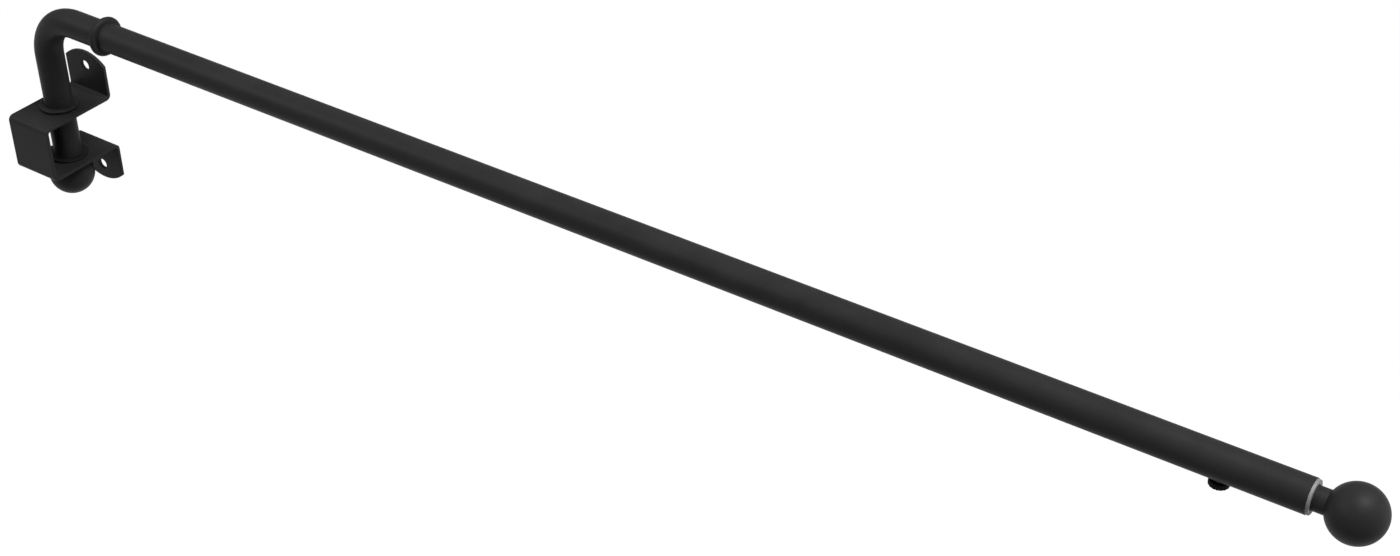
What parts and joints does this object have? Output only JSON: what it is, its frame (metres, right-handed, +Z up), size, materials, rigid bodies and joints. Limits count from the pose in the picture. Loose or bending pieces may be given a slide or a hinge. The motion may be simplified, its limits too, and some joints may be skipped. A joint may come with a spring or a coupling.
{
  "type": "swing arm curtain rod",
  "caption": "Telescoping curtain rod on a post that swings in a bent strap wall bracket, with a collar at the elbow, ball ends and a lock screw under the arm.",
  "frame": {"origin": "on the wall plane, midway between the bracket's two screw holes", "axes": "+X along the arm towards its free end at rest, +Y into the wall, +Z up along the post"},
  "size_m": [0.7839, 0.049, 0.132],
  "materials": {
    "satin_black": "satin",
    "black_nylon": "matte",
    "grey_nylon": "matte",
    "black_plastic": "satin",
    "plain_steel": "bright zinc",
    "blackened_brass": "black oxide"
  },
  "bodies": {
    "bracket": {"wall_bracket": "satin_black", "top_bush": "black_nylon", "bottom_bush": "black_nylon"},
    "arm": {"swing_arm_tube": "satin_black", "post_collar": "satin_black", "post_end_plug": "plain_steel", "lower_ball_stud": "plain_steel", "lower_ball": "satin_black", "tube_connector": "satin_black", "outer_tube": "satin_black", "guide_bush": "grey_nylon", "lock_bush": "blackened_brass"},
    "extension": {"inner_rod": "satin_black", "inner_glide": "grey_nylon", "rod_end_plug": "plain_steel", "end_ball_stud": "plain_steel", "end_ball": "satin_black"},
    "lock_stud": {"lock_stud": "plain_steel"},
    "lock_head": {"lock_knob": "black_plastic"}
  },
  "joints": [
    {"name": "arm_swing", "type": "hinge", "parent": "bracket", "child": "arm", "pos_m": [0, -0.0245, 0], "axis": [0, 0, -1], "range_deg": [0, 180]},
    {"name": "rod_slide", "type": "slide", "parent": "arm", "child": "extension", "axis": [1, 0, 0], "range_m": [0, 0.457]},
    {"name": "lock_travel", "type": "slide", "parent": "arm", "child": "lock_stud", "axis": [0, 0, -1], "range_m": [0, 0.0014]},
    {"name": "lock_turn", "type": "hinge", "parent": "lock_stud", "child": "lock_head", "pos_m": [0.6988, -0.0245, 0.0682], "axis": [0, 0, -1], "range_deg": [0, 720]}
  ],
  "couplings": [
    {"joint": "lock_turn", "follows": "lock_travel", "rad_per_m": 8976}
  ]
}
